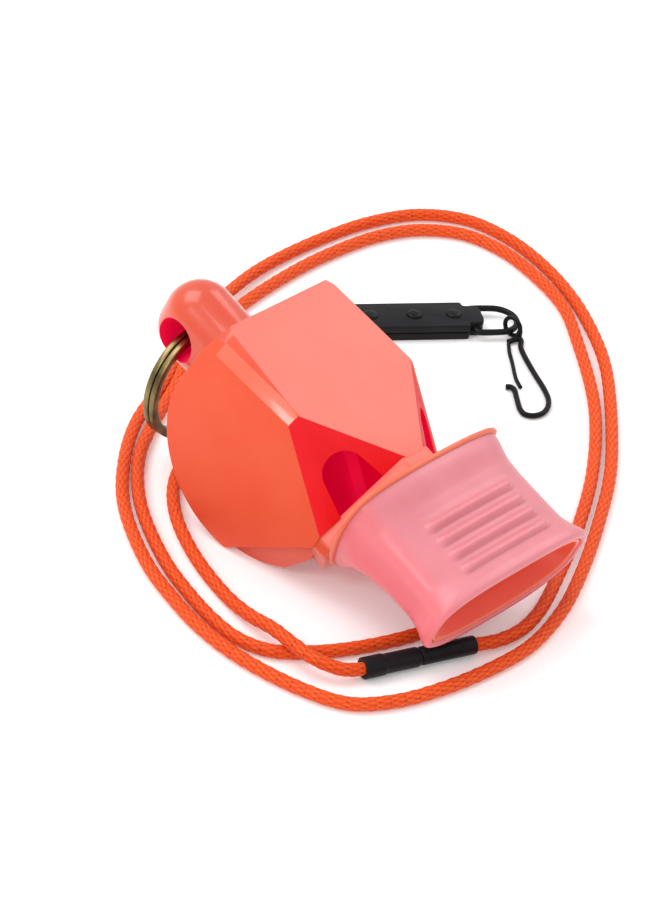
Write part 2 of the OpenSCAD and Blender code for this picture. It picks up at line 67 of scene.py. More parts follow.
# ---------------------------------------------------------------- materials
class Nodes:
    """Short names for building one material's nodes."""

    def __init__(self, name):
        self.mat = bpy.data.materials.new(name)
        self.mat.use_nodes = True
        self.tree = self.mat.node_tree
        self.tree.nodes.clear()
        self.out = self.add("ShaderNodeOutputMaterial")
        self.bsdf = self.add("ShaderNodeBsdfPrincipled")
        self.link(self.bsdf.outputs["BSDF"], self.out.inputs["Surface"])

    def add(self, kind, **values):
        n = self.tree.nodes.new(kind)
        for k, v in values.items():
            setattr(n, k, v)
        return n

    def link(self, a, b):
        self.tree.links.new(a, b)

    def set(self, **values):
        for k, v in values.items():
            self.bsdf.inputs[k.replace("_", " ")].default_value = v

    def place(self):
        return self.add("ShaderNodeTexCoord").outputs["Object"]

    def noise(self, scale, detail=3.0):
        n = self.add("ShaderNodeTexNoise")
        n.inputs["Scale"].default_value = scale
        n.inputs["Detail"].default_value = detail
        self.link(self.place(), n.inputs["Vector"])
        return n.outputs["Fac"]

    def ramp(self, fac, *stops):
        n = self.add("ShaderNodeValToRGB")
        while len(n.color_ramp.elements) < len(stops):
            n.color_ramp.elements.new(0.5)
        for e, (p, c) in zip(n.color_ramp.elements, stops):
            e.position, e.color = p, (*c, 1)
        self.link(fac, n.inputs["Fac"])
        return n.outputs["Color"]

    def attribute(self, name):
        return self.add("ShaderNodeAttribute", attribute_name=name).outputs["Fac"]

    def mix(self, fac, a, b):
        n = self.add("ShaderNodeMix", data_type="RGBA")
        self.link(fac, n.inputs["Factor"])
        for s, v in ((n.inputs[6], a), (n.inputs[7], b)):
            if isinstance(v, tuple):
                s.default_value = (*v, 1)
            else:
                self.link(v, s)
        return n.outputs[2]

    def spread(self, fac, low, high):
        n = self.add("ShaderNodeMapRange")
        n.inputs["To Min"].default_value = low
        n.inputs["To Max"].default_value = high
        self.link(fac, n.inputs["Value"])
        return n.outputs["Result"]

    def bump(self, height, strength, distance):
        n = self.add("ShaderNodeBump")
        n.inputs["Strength"].default_value = strength
        n.inputs["Distance"].default_value = distance
        self.link(height, n.inputs["Height"])
        return n.outputs["Normal"]

    def base(self, socket):
        self.link(socket, self.bsdf.inputs["Base Color"])

    def rough(self, socket):
        self.link(socket, self.bsdf.inputs["Roughness"])

    def normal(self, socket):
        self.link(socket, self.bsdf.inputs["Normal"])


def moulded(name, dark, light, low, high, bump=0.04, **values):
    """Moulded plastic: faint cloudy colour, uneven gloss, fine surface grain."""
    m = Nodes(name)
    m.base(m.ramp(m.noise(140), (0.3, dark), (0.7, light)))
    m.rough(m.spread(m.noise(420), low, high))
    m.normal(m.bump(m.noise(1800), bump, 0.00004))
    m.set(**values)
    return m.mat


GLOSS = dict(Coat_Weight=0.12, Coat_Roughness=0.12, Specular_IOR_Level=0.3)
SHINE = dict(Coat_Weight=0.5, Coat_Roughness=0.1, Specular_IOR_Level=0.4)
DULL = dict(Specular_IOR_Level=0.15)
# painted light: the top face gets a lighter, paler copy of the housing orange
top_lit_mat = moulded("housing_top_painted_light", (0.77, 0.15, 0.108), (0.81, 0.172, 0.125), 0.36, 0.44, **GLOSS)
# painted shade: the housing's half of the rounded top edge gets a deeper copy of the housing orange
strip_shade_mat = moulded("housing_strip_painted_shade", (0.70, 0.066, 0.026), (0.74, 0.084, 0.037), 0.28, 0.36,
                    **GLOSS)
# painted shade: the slanted front faces get a darker, saturated red copy of the housing orange
facet_shade_mat = moulded("housing_facet_painted_shade", (0.76, 0.009, 0.014), (0.80, 0.014, 0.02), 0.45, 0.52, **DULL)
plain_mat = moulded("housing_plain", (0.64, 0.066, 0.026), (0.68, 0.083, 0.036), 0.28, 0.36,
                    **SHINE)
# painted highlight: the flange and the mouth's front rim get a lighter copy of the housing orange
flange_highlight_mat = moulded("flange_rim_painted_highlight", (0.78, 0.15, 0.078), (0.82, 0.172, 0.092), 0.3, 0.38, **GLOSS)
# painted glow: the chamber and hole walls emit a faint crimson light, standing in for light passing
# through the plastic
inner_glow_mat = moulded("housing_inside_painted_glow", (0.62, 0.002, 0.04), (0.68, 0.006, 0.05), 0.6, 0.7,
                    Specular_IOR_Level=0.1, Emission_Color=(0.55, 0.0, 0.035, 1),
                    Emission_Strength=0.45)
mouth_mat = moulded("mouth_inside", (0.80, 0.07, 0.035), (0.84, 0.09, 0.045), 0.35, 0.45)
cover_mat = moulded("cover_side", (0.72, 0.084, 0.034), (0.75, 0.10, 0.042), 0.45, 0.52, **DULL)
# painted highlight: the cover's rounded top edge gets a lighter, glossier copy of its orange
edge_highlight_mat = moulded("cover_edge_painted_highlight", (0.76, 0.12, 0.06), (0.80, 0.14, 0.075), 0.22, 0.3, **SHINE)
black = moulded("black_plastic", (0.006, 0.006, 0.007), (0.013, 0.013, 0.015), 0.3, 0.45, bump=0.1,
                 Specular_IOR_Level=0.12)
black_wire = moulded("black_wire", (0.005, 0.005, 0.006), (0.012, 0.012, 0.013), 0.25, 0.4,
                     bump=0.1, Specular_IOR_Level=0.12)


def brass_material():
    m = Nodes("ring_brass")
    m.base(m.ramp(m.noise(260, 5), (0.35, (0.10, 0.075, 0.035)), (0.55, (0.26, 0.2, 0.09)),
                  (0.75, (0.42, 0.34, 0.17))))
    m.rough(m.spread(m.noise(500), 0.22, 0.45))
    m.normal(m.bump(m.noise(3000), 0.15, 0.00004))
    m.set(Metallic=1.0)
    return m.mat


def grip_material():
    """Soft pink rubber, with painted shade: deeper rose where the side walls turn away and on the
    underside.
    """
    m = Nodes("grip_rubber")
    cloud = m.ramp(m.noise(160), (0.3, (0.67, 0.19, 0.22)), (0.7, (0.72, 0.22, 0.255)))
    # painted shade: the 'turn' attribute mixes in a deeper rose
    m.base(m.mix(m.attribute("turn"), cloud, (0.76, 0.14, 0.165)))
    m.rough(m.spread(m.noise(500), 0.38, 0.5))
    m.normal(m.bump(m.noise(1500), 0.06, 0.00005))
    m.set(Subsurface_Weight=0.15, Subsurface_Scale=0.002, Coat_Weight=0.3, Coat_Roughness=0.3)
    return m.mat


def braid_material():
    """Orange braid: painted highlight on the strands' crowns, painted shade in the gaps between them,
    fine yarn fibres.
    """
    m = Nodes("cord_braid")
    # painted highlight on the crowns and painted shade in the gaps, from the braid's height
    strands = m.ramp(m.attribute("height"), (0.1, (0.25, 0.02, 0.003)), (0.5, (0.70, 0.062, 0.006)),
                     (1.0, (0.86, 0.155, 0.02)))
    m.base(m.mix(m.spread(m.noise(900), 0.0, 0.35), strands, (0.78, 0.045, 0.004)))
    m.rough(m.spread(m.noise(700), 0.55, 0.75))
    m.normal(m.bump(m.noise(6000, 4), 0.25, 0.00006))
    m.set(Sheen_Weight=0.08, Sheen_Roughness=0.4, Specular_IOR_Level=0.25)
    return m.mat


brass = brass_material()
grip_mat = grip_material()
cord_mat = braid_material()


# ---------------------------------------------------------------- mesh helpers
def object_from(name, verts, faces, mats, place=None):
    """An object from points in mm, turned by place, ready in metres."""
    mesh = bpy.data.meshes.new(name)
    place = place or Matrix.Identity(4)
    mesh.from_pydata([(place @ Vector(v)) * MM for v in verts], [], faces)
    for m in mats:
        mesh.materials.append(m)
    mesh.polygons.foreach_set("use_smooth", [True] * len(mesh.polygons))
    mesh.update()
    o = bpy.data.objects.new(name, mesh)
    scene.collection.objects.link(o)
    return o


def face_outwards(o):
    bm = bmesh.new()
    bm.from_mesh(o.data)
    bmesh.ops.recalc_face_normals(bm, faces=bm.faces)
    bm.to_mesh(o.data)
    bm.free()


def smooth_by_angle(o, degrees):
    """Smooth shading, with edges sharper than the angle kept crisp."""
    o.data.polygons.foreach_set("use_smooth", [True] * len(o.data.polygons))
    limit = math.radians(degrees)
    bm = bmesh.new()
    bm.from_mesh(o.data)
    for e in bm.edges:
        e.smooth = len(e.link_faces) == 2 and e.calc_face_angle(0) < limit
    bm.to_mesh(o.data)
    bm.free()


def finish_piece(o, body, slot, *nodes):
    """Attach it to the body it rides on and hide the CAD nodes it stands for; the slot is not used."""
    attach(o, body)
    if nodes:
        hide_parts(*nodes)
    return o


def curve_through(points, step, closed=False):
    """Even points, about step apart, on a smooth curve through the given ones."""
    pts = [Vector(p) for p in points]
    n = len(pts)
    fine = []
    for i in range(n if closed else n - 1):
        if closed:
            a, b, c, d = (pts[(i + k) % n] for k in (-1, 0, 1, 2))
        else:
            b, c = pts[i], pts[i + 1]
            a = pts[i - 1] if i else b * 2 - c
            d = pts[i + 2] if i + 2 < n else c * 2 - b
        t1 = max(1e-6, (b - a).length) ** 0.5
        t2 = t1 + max(1e-6, (c - b).length) ** 0.5
        t3 = t2 + max(1e-6, (d - c).length) ** 0.5
        parts = max(4, int((c - b).length / (step * 0.5)))
        for k in range(parts):
            t = t1 + (t2 - t1) * k / parts
            e = a + (b - a) * (t / t1)
            f = b + (c - b) * ((t - t1) / (t2 - t1))
            g = c + (d - c) * ((t - t2) / (t3 - t2))
            h = e + (f - e) * (t / t2)
            j = f + (g - f) * ((t - t1) / (t3 - t1))
            fine.append(h + (j - h) * ((t - t1) / (t2 - t1)))
    fine.append(pts[0].copy() if closed else pts[-1].copy())
    lengths = [0.0]
    for p, q in zip(fine, fine[1:]):
        lengths.append(lengths[-1] + (q - p).length)
    count = max(2, round(lengths[-1] / step))
    out, j = [], 0
    for i in range(count + 1):
        s = lengths[-1] * i / count
        while j < len(fine) - 2 and lengths[j + 1] < s:
            j += 1
        w = (s - lengths[j]) / max(1e-9, lengths[j + 1] - lengths[j])
        out.append(fine[j].lerp(fine[j + 1], min(1.0, max(0.0, w))))
    if closed:
        out.pop()
    return out


def frames_along(path, closed=False):
    """Heading, sideways and upward directions at each point of a path."""
    n = len(path)
    out = []
    for i in range(n):
        a = path[(i - 1) % n] if closed or i else path[0]
        b = path[(i + 1) % n] if closed or i < n - 1 else path[-1]
        t = (b - a).normalized()
        s = Vector((0, 0, 1)).cross(t)
        s = s.normalized() if s.length > 0.05 else (out[-1][1] if out else Vector((1, 0, 0)))
        out.append((t, s, t.cross(s)))
    return out


def tube(name, path, radius, sides, mats, closed=False, heights=None):
    """Round tube along a path. radius and heights may be functions of distance and angle."""
    verts, faces, values = [], [], []
    n = len(path)
    s = 0.0
    for i, (p, (_, across, up)) in enumerate(zip(path, frames_along(path, closed))):
        if i:
            s += (p - path[i - 1]).length
        for k in range(sides):
            a = 2 * math.pi * k / sides
            r = radius(s, a) if callable(radius) else radius
            verts.append(p + (across * math.cos(a) + up * math.sin(a)) * r)
            if heights:
                values.append(heights(s, a))
    for i in range(n if closed else n - 1):
        j = (i + 1) % n
        for k in range(sides):
            m = (k + 1) % sides
            faces.append((i * sides + k, i * sides + m, j * sides + m, j * sides + k))
    if not closed:
        faces.append(tuple(reversed(range(sides))))
        faces.append(tuple(range((n - 1) * sides, n * sides)))
    o = object_from(name, verts, faces, mats)
    if heights:
        layer = o.data.attributes.new("height", "FLOAT", "POINT")
        layer.data.foreach_set("value", values)
    return o


def lathe_points(profile, sides):
    """A closed solid turned round X from (x, radius) pairs, with its ends on the axis."""
    verts = [(profile[0][0], 0, 0)]
    for x, r in profile[1:-1]:
        for k in range(sides):
            a = 2 * math.pi * k / sides
            verts.append((x, r * math.cos(a), r * math.sin(a)))
    verts.append((profile[-1][0], 0, 0))
    rings = len(profile) - 2
    faces = [(0, 1 + (k + 1) % sides, 1 + k) for k in range(sides)]
    for i in range(rings - 1):
        for k in range(sides):
            m = (k + 1) % sides
            a, b = 1 + i * sides, 1 + (i + 1) * sides
            faces.append((a + k, a + m, b + m, b + k))
    last, end = 1 + (rings - 1) * sides, len(verts) - 1
    faces += [(last + k, last + (k + 1) % sides, end) for k in range(sides)]
    return verts, faces


ROUND_STEPS = 4


def rounded(profile, r):
    """A turned profile with its corners rounded by r."""
    out = [profile[0]]
    for i in range(1, len(profile) - 1):
        p, a, b = (Vector(profile[j]) for j in (i, i - 1, i + 1))
        da, db = (a - p), (b - p)
        k = min(r, da.length * 0.45, db.length * 0.45)
        p0, p1 = p + da.normalized() * k, p + db.normalized() * k
        for j in range(ROUND_STEPS + 1):
            t = j / ROUND_STEPS
            out.append(tuple(p0 * (1 - t) ** 2 + p * 2 * t * (1 - t) + p1 * t * t))
    out.append(profile[-1])
    return out


# ---------------------------------------------------------------- cords
CORD_R = 0.79
CORD_SIDES = 24
STRANDS = 8
PITCH = 1.7
RELIEF = 0.17


def braid_height(s, a):
    """Plain braid: each cell is an over-lying piece of one of two crossing families of strands."""
    u = STRANDS * a / (2 * math.pi)
    p, q = u + s / PITCH, u - s / PITCH
    fp, fq = p % 1 - 0.5, q % 1 - 0.5
    if (math.floor(p) + math.floor(q)) % 2:
        fp, fq = fq, fp
    return (1 - (2 * fp) ** 2) ** 0.6 * (1 - 0.55 * (2 * fq) ** 2)


def braid_radius(s, a):
    return CORD_R - RELIEF * (1 - braid_height(s, a))


# The cords' own lines, the same as their solids in the frame.
LONG_ROUTE = [
    (-26.40, 33.92, 1), (-27.08, 32.97, 1), (-24.9, 29.6, 0.9), (-21.4, 25.4, 0.8),
    (-14, 22.6, 0.8), (-3, 20.4, 0.8), (5.5, 17.6, 0.8), (13, 13.6, 0.8), (17.8, 8, 0.8),
    (19.8, 1, 0.8), (19.4, -5, 0.8), (17.2, -12, 0.8), (14.2, -17.6, 0.8), (11.0, -21.2, 0.8),
    (7.4, -22.4, 0.8), (3.3, -22, 0.8), (-1.8, -20.5, 0.8), (-7.8, -18, 0.8), (-16.9, -12.2, 0.8),
    (-22.9, -6.1, 0.8), (-26.3, -0.7, 0.8), (-28.6, 4, 0.8), (-30.9, 9, 1.3), (-33.4, 13.8, 2.3),
    (-35.4, 17.2, 2.55), (-37.4, 21, 2.4), (-40.2, 28, 1.5), (-42, 36, 1.0), (-42.3, 46, 0.8),
    (-41.2, 55, 0.8), (-38.6, 61.6, 0.8), (-34, 65.6, 0.8), (-28, 66.4, 0.8), (-21, 65, 0.8),
    (-14, 62, 0.8), (-8, 58.2, 0.8), (-2.5, 53.8, 0.8), (3, 48, 0.8), (12.6, 36, 0.8),
    (18.4, 26.5, 0.8), (23.4, 17, 0.8), (26.6, 9.5, 0.8), (28.4, 2, 0.8), (28.4, -4, 0.8),
    (27.3, -11.5, 0.8), (25.4, -17.5, 0.8), (22.6, -21.6, 0.8), (18, -23.6, 0.8),
    (10, -24.7, 0.8), (3.3, -24.1, 0.8), (-2.6, -22.4, 0.8), (-8.5, -20, 0.8),
    (-17.8, -13.9, 0.8), (-23.9, -7.4, 0.8), (-28.5, -0.5, 0.8), (-31.6, 6.9, 0.8),
    (-35.0, 15.5, 0.8), (-37.2, 24, 0.8), (-38.8, 34, 0.8), (-39.3, 44, 0.8), (-38.3, 53.5, 0.8),
    (-36, 59, 0.8), (-32, 62.6, 0.8), (-26.5, 63.5, 0.8), (-20, 62.2, 0.8), (-13.5, 59.5, 0.8),
    (-7.5, 54.8, 0.8), (3, 45, 0.8), (11.5, 34, 0.8), (18.2, 22.5, 0.8), (21.6, 15.5, 0.8),
    (25.0, 7.5, 0.8), (26.0, 3.0, 0.95), (25.77, -0.70, 1.15), (24.70, -3.50, 1.25),
    (24.34, -4.43, 1.25)]
SHORT_ROUTE = [
    (-28.43, 35.38, 1), (-29.11, 34.43, 1), (-29.5, 30, 0.85), (-27.9, 24, 0.8), (-25, 16, 0.8),
    (-22.6, 8, 0.8), (-20.4, 0, 0.8), (-17.4, -6, 0.8), (-13, -10.6, 0.8), (-6, -14.9, 0.8),
    (1.4, -17.7, 0.8), (5.6, -18.8, 1.3), (9.6, -19.6, 2.2), (13.2, -20.3, 2.5),
    (16.2, -20.1, 2.2), (18.6, -18.6, 1.6), (19.54, -16.97, 1.3), (19.90, -16.04, 1.25)]


def make_cord(name, route, node):
    """A braided cord along its route, and the line it follows."""
    step = 0.24
    path = curve_through(route, step)
    o = tube(name, path, braid_radius, CORD_SIDES, [cord_mat], heights=braid_height)
    finish_piece(o, "lanyard", "cord", node)
    return o, path


long_cord = make_cord("long_cord", LONG_ROUTE, "cord_long")
short_cord = make_cord("short_cord", SHORT_ROUTE, "cord_short")


# ---------------------------------------------------------------- connector
def axis_place(x, y, z, turn):
    return Matrix.Translation((x, y, z)) @ Matrix.Rotation(math.radians(turn), 4, "Z")


SNAP = axis_place(22.2, -9.9, 1.25, 69.1)


def make_connector():
    """Both halves of the breakaway connector, socket first."""
    halves = []
    socket = rounded([(-5.9, 0), (-5.9, 0.82), (-6.9, 0.84), (-6.9, 1.22), (-4.5, 1.22),
                      (-4.3, 1.12), (-0.3, 1.12), (0, 0.98), (0, 0.68), (-3.4, 0.68), (-3.4, 0)],
                     0.14)
    plug = rounded([(-3.0, 0), (-3.0, 0.56), (0.04, 0.58), (0.06, 0.9), (0.3, 1.04), (6.85, 1.04),
                    (6.85, 0.87), (2.6, 0.87), (2.6, 0)], 0.12)
    for name, profile, body, node in (("socket_body", socket, "lanyard", "breakaway_socket"),
                                      ("plug_body", plug, "plug", "breakaway_plug")):
        verts, faces = lathe_points(profile, 48)
        o = object_from(name, verts, faces, [black], place=SNAP)
        smooth_by_angle(o, 40)
        halves.append(finish_piece(o, body, "connector", node))
    return halves


socket_body, plug_body = make_connector()


# ---------------------------------------------------------------- whistle housing
REST_TILT = 21.5  # nose down, in degrees
BELLY = (12.0, -9.5)
BELLY_R = 12.5
CORE = 9.2
OUTER = 10.4
AT_REST = (Matrix.Translation((-3.67, 0, BELLY_R))
           @ Matrix.Rotation(math.radians(REST_TILT), 4, "Y")
           @ Matrix.Translation((-BELLY[0], 0, -BELLY[1])))
NECK_X = 23.4
REAR_X = 0.4                        # rear edge of the top face
BELLY_START = 175.4                 # where the belly's arc leaves the rear edge, in degrees
WALL, FACET_WALL = 1.4, 1.2         # round the chambers, and behind the slanted faces
MIDDLE_HALF, SIDE_INNER = 2.9, 3.9  # middle chamber's half width, side chambers' inner wall
FACET_TURN, FACET_LEAN = -51.48, 52.1


def plane(turn, lean, distance):
    """Outward normal and distance of one sloping plane, near side."""
    t, l = math.radians(turn), math.radians(lean)
    return Vector((math.sin(l) * math.cos(t), math.sin(l) * math.sin(t), math.cos(l))), distance


FACET = plane(FACET_TURN, FACET_LEAN, 12.3)
RIM = plane(-94.6, 47, 6.02)
CORNERS = [plane(-160, 62, 3.02), plane(-140, 56, 3.88), plane(-117, 52, 5.36)]


def other_side(p):
    return Vector((p[0].x, -p[0].y, p[0].z)), p[1]


def arc(cx, cz, r, a0, a1, n):
    """n + 1 points of an arc, angles in degrees."""
    return [(cx + r * math.cos(math.radians(a0 + (a1 - a0) * i / n)),
             cz + r * math.sin(math.radians(a0 + (a1 - a0) * i / n))) for i in range(n + 1)]


def prism(outline, y0, y1):
    """Solid between y0 and y1 with an (x, z) outline."""
    bm = bmesh.new()
    near = [bm.verts.new((x, y0, z)) for x, z in outline]
    far = [bm.verts.new((x, y1, z)) for x, z in outline]
    bm.faces.new(near)
    bm.faces.new(list(reversed(far)))
    n = len(outline)
    for i in range(n):
        bm.faces.new((near[i], far[i], far[(i + 1) % n], near[(i + 1) % n]))
    bmesh.ops.recalc_face_normals(bm, faces=bm.faces)
    return bm


def slice_off(bm, normal, distance):
    """Cut away everything outside a plane and close the cut."""
    cut = bmesh.ops.bisect_plane(bm, geom=bm.verts[:] + bm.edges[:] + bm.faces[:], dist=1e-5,
                                 plane_co=normal * distance, plane_no=normal, clear_outer=True)
    edges = [e for e in cut["geom_cut"] if isinstance(e, bmesh.types.BMEdge)]
    if edges:
        bmesh.ops.contextual_create(bm, geom=edges)
    bmesh.ops.recalc_face_normals(bm, faces=bm.faces)


def object_of(name, bm, mats, paint=None):
    """The bmesh as an object, still in the whistle's own frame and in mm."""
    if paint:
        for f in bm.faces:
            f.material_index = paint(f)
    mesh = bpy.data.meshes.new(name)
    bm.to_mesh(mesh)
    bm.free()
    for m in mats:
        mesh.materials.append(m)
    o = bpy.data.objects.new(name, mesh)
    scene.collection.objects.link(o)
    return o


def combine(o, other, how):
    """Boolean with another object, which is used up."""
    m = o.modifiers.new("boolean", "BOOLEAN")
    m.operation, m.object, m.solver = how, other, "EXACT"
    m.material_mode = "TRANSFER"
    settle(o)
    bpy.data.objects.remove(other)


def settle(o):
    """Apply an object's modifiers."""
    bpy.context.view_layer.update()
    new = bpy.data.meshes.new_from_object(o.evaluated_get(bpy.context.evaluated_depsgraph_get()))
    o.modifiers.clear()
    old, o.data = o.data, new
    new.name = old.name
    bpy.data.meshes.remove(old)


def soften(o, width, angle=28, segments=3, hidden=None):
    """Round the edges sharper than an angle, apart from those of hidden faces."""
    bm = bmesh.new()
    bm.from_mesh(o.data)
    limit = math.radians(angle)
    sharp = [e for e in bm.edges if len(e.link_faces) == 2 and e.calc_face_angle(0) > limit
             and not (hidden and any(hidden(f) for f in e.link_faces))]
    bmesh.ops.bevel(bm, geom=sharp, offset=width, offset_type="OFFSET", segments=segments,
                    profile=0.5, affect="EDGES", clamp_overlap=True, material=-1, miter_outer="ARC",
                    harden_normals=False)
    bm.to_mesh(o.data)
    bm.free()


def to_rest(o):
    """From the whistle's own frame in mm to its place in metres."""
    o.data.transform(Matrix.Scale(MM, 4) @ AT_REST)
    o.data.update()


def side_outline():
    """Round the belly from its rear edge, up the neck and back along the top."""
    low = arc(*BELLY, BELLY_R, BELLY_START, 282.0, 54)
    return low + [(NECK_X, -11.1), (NECK_X, 0), (REAR_X, 0)]


core_mats = [top_lit_mat, strip_shade_mat, facet_shade_mat, plain_mat, inner_glow_mat]
TOP, STRIP, FACE, PLAIN, INNER = range(5)


def paint_core(f):
    n = f.normal
    near = Vector((n.x, -abs(n.y), n.z))
    # upward faces take the top face's lighter copy: painted light
    if n.z > 0.99:
        return TOP
    # the rounded edge strip takes its deeper copy: painted shade
    if near.dot(RIM[0]) > 0.995:
        return STRIP
    # the slanted faces take their darker red copy: painted shade
    if near.dot(FACET[0]) > 0.995:
        return FACE
    return PLAIN


def core_block():
    belly = arc(*BELLY, BELLY_R, BELLY_START, 315.0, 66)
    outline = [(REAR_X, 0)] + belly + [(21.4, -17.9), (NECK_X, -14), (NECK_X, 0)]
    bm = prism(outline, -CORE, CORE)
    for p in [FACET, RIM] + CORNERS:
        slice_off(bm, *p)
        slice_off(bm, *other_side(p))
    return object_of("housing", bm, core_mats, paint_core)


def chamber_cutter(y0, y1):
    """Round chamber with a flat roof, cut short where the side covers slope away."""
    outline = arc(*BELLY, BELLY_R - WALL, 0, 360, 60)[:-1]
    bm = prism(outline, y0, y1)
    slice_off(bm, Vector((0, 0, 1)), -WALL)
    slope = Vector((35.3 - 1.27, 0, 5.47 + 36.5)).normalized()
    out = Vector((slope.z, 0, -slope.x))
    slice_off(bm, out, out.dot(Vector((13.87, 0, -20.94))))
    for p in (FACET, other_side(FACET)):
        slice_off(bm, p[0], p[1] - FACET_WALL)
    return object_of("chamber", bm, core_mats, lambda f: INNER)


def window_cutter(side):
    """Arched hole that widens towards the flange, square to the sloping corner."""
    r, run, flare_angle = 2.5, 4.8, 13.5
    flare = math.radians(flare_angle)
    wide = r + run * math.sin(flare)
    shape = [(run, -wide * math.cos(flare))]
    a0, a1 = 270 - flare_angle, 90 + flare_angle
    for i in range(33):
        a = math.radians(a0 + (a1 - a0) * i / 32)
        shape.append((r * math.cos(a), r * math.sin(a)))
    shape.append((run, wide * math.cos(flare)))
    spin = Matrix.Rotation(math.radians(58.7), 4, "Z")
    lean = Matrix.Rotation(math.radians(FACET_LEAN), 4, "Y")
    turn = Matrix.Rotation(math.radians(FACET_TURN), 4, "Z")
    bm = bmesh.new()
    rings = []
    for h in (FACET[1] - 3.6, FACET[1] + 2.4):
        place = turn @ lean @ Matrix.Translation((13.61, 11.74, h)) @ spin
        ring = []
        for x, y in shape:
            v = place @ Vector((x, y, 0))
            ring.append(bm.verts.new((v.x, v.y * side, v.z)))
        rings.append(ring)
    bm.faces.new(rings[0])
    bm.faces.new(rings[1])
    n = len(shape)
    for i in range(n):
        bm.faces.new((rings[0][i], rings[0][(i + 1) % n], rings[1][(i + 1) % n], rings[1][i]))
    bmesh.ops.recalc_face_normals(bm, faces=bm.faces)
    return object_of("window", bm, core_mats, lambda f: INNER)


def box_cutter(x0, y0, z0, x1, y1, z1):
    return object_of("box", prism([(x0, z0), (x1, z0), (x1, z1), (x0, z1)], y0, y1), core_mats,
                     lambda f: INNER)


def lug_block():
    """Round-ended lug with an upright straight part in its cross-section."""
    r, x_end, x_in, low, high = 4.1, -6.9, 2.0, -12.4, -10.5
    sections = [(x_end - r * math.sin(math.radians(a)), r * math.cos(math.radians(a)))
                for a in (88, 80, 70, 60, 50, 40, 30, 20, 10)] + [(x_end, r), (x_in, r)]
    bm = bmesh.new()
    rings = []
    k = 48
    for x, q in sections:
        ring = []
        for i in range(k):
            a = 2 * math.pi * (i + 0.5) / k
            z = high if math.sin(a) > 0 else low
            ring.append(bm.verts.new((x, q * math.cos(a), z + q * math.sin(a))))
        rings.append(ring)
    for p, q in zip(rings, rings[1:]):
        for i in range(k):
            bm.faces.new((p[i], p[(i + 1) % k], q[(i + 1) % k], q[i]))
    bm.faces.new(rings[0])
    bm.faces.new(rings[-1])
    bmesh.ops.recalc_face_normals(bm, faces=bm.faces)
    return object_of("lug", bm, core_mats, lambda f: PLAIN)


def lug_hole_cutter():
    profile = [(-5.2, 0), (-5.2, 3.5), (-4.4, 3.05), (-3.9, 2.75), (-3.3, 2.45), (-2.7, 2.2),
               (-1.5, 2.06), (1.5, 2.06), (2.7, 2.2), (3.3, 2.45), (3.9, 2.75), (4.4, 3.05),
               (5.2, 3.5), (5.2, 0)]
    verts, faces = lathe_points(profile, 48)
    bm = bmesh.new()
    new = [bm.verts.new((-6.4 + y, x, -12.4 + z)) for x, y, z in verts]
    for f in faces:
        bm.faces.new([new[i] for i in f])
    bmesh.ops.recalc_face_normals(bm, faces=bm.faces)
    return object_of("lug_hole", bm, core_mats, lambda f: INNER)


def make_housing():
    o = core_block()
    combine(o, lug_block(), "UNION")
    for side in (1, -1):
        y0, y1 = (-CORE - 1, -SIDE_INNER) if side == 1 else (SIDE_INNER, CORE + 1)
        combine(o, chamber_cutter(y0, y1), "DIFFERENCE")
        combine(o, window_cutter(side), "DIFFERENCE")
    combine(o, chamber_cutter(-MIDDLE_HALF, MIDDLE_HALF), "DIFFERENCE")
    combine(o, box_cutter(20.2, -MIDDLE_HALF, -20, 23.6, MIDDLE_HALF, -11), "DIFFERENCE")
    combine(o, lug_hole_cutter(), "DIFFERENCE")
    soften(o, 0.28, hidden=lambda f: abs(f.normal.y) > 0.99)
    smooth_by_angle(o, 30)
    to_rest(o)
    return finish_piece(o, "whistle", "housing", "body_core")


def paint_cover(f):
    n = Vector((f.normal.x, -abs(f.normal.y), f.normal.z))
    # the cover's share of the slanted face takes the painted-shade red
    if n.dot(FACET[0]) > 0.99:
        return 2
    # the cover's rounded edge takes its lighter copy: painted highlight
    return 1 if n.dot(RIM[0]) > 0.99 else 0


def make_cover(side, name, node):
    bm = prism(side_outline(), -OUTER, -CORE)
    for p in [FACET, RIM] + CORNERS:
        slice_off(bm, *p)
    if side < 0:
        for v in bm.verts:
            v.co.y = -v.co.y
        bmesh.ops.recalc_face_normals(bm, faces=bm.faces)
    o = object_of(name, bm, [cover_mat, edge_highlight_mat, facet_shade_mat], paint_cover)
    soften(o, 0.3, 20, 4, hidden=lambda f: f.normal.y * side > 0.99)
    smooth_by_angle(o, 30)
    to_rest(o)
    return finish_piece(o, "whistle", "cover", node)


make_housing()
make_cover(1, "left_side_cover", "left_cover")
make_cover(-1, "right_side_cover", "right_cover")


# ---------------------------------------------------------------- mouthpiece and grip
MIDDLE_Z = -5.6   # height of the flange outline's middle
SQUARENESS = 3.3  # 2 is an ellipse, more is squarer


def flange_outline(share):
    edge = [(0, 2.35), (3, 2.3), (5.8, 2.1), (8, 1.75), (9.8, 1.3), (11, 0.7), (11.8, -0.1),
            (12.2, -1.3), (12.3, -2.8), (12.1, -4.8), (11.6, -6.6), (10.9, -8.6), (10.1, -10.4),
            (9.1, -12), (7.9, -13), (6.4, -13.6), (4, -13.9), (0, -14)]
    half = [Vector((y, z)) for y, z in edge]
    ring = half + [Vector((-p.x, p.y)) for p in half[-2:0:-1]]
    ring = [Vector((p.x, p.y, 0)) for p in ring]
    ring = curve_through(ring, 0.5, closed=True)
    return [(p.x * share, MIDDLE_Z + (p.y - MIDDLE_Z) * share) for p in ring]


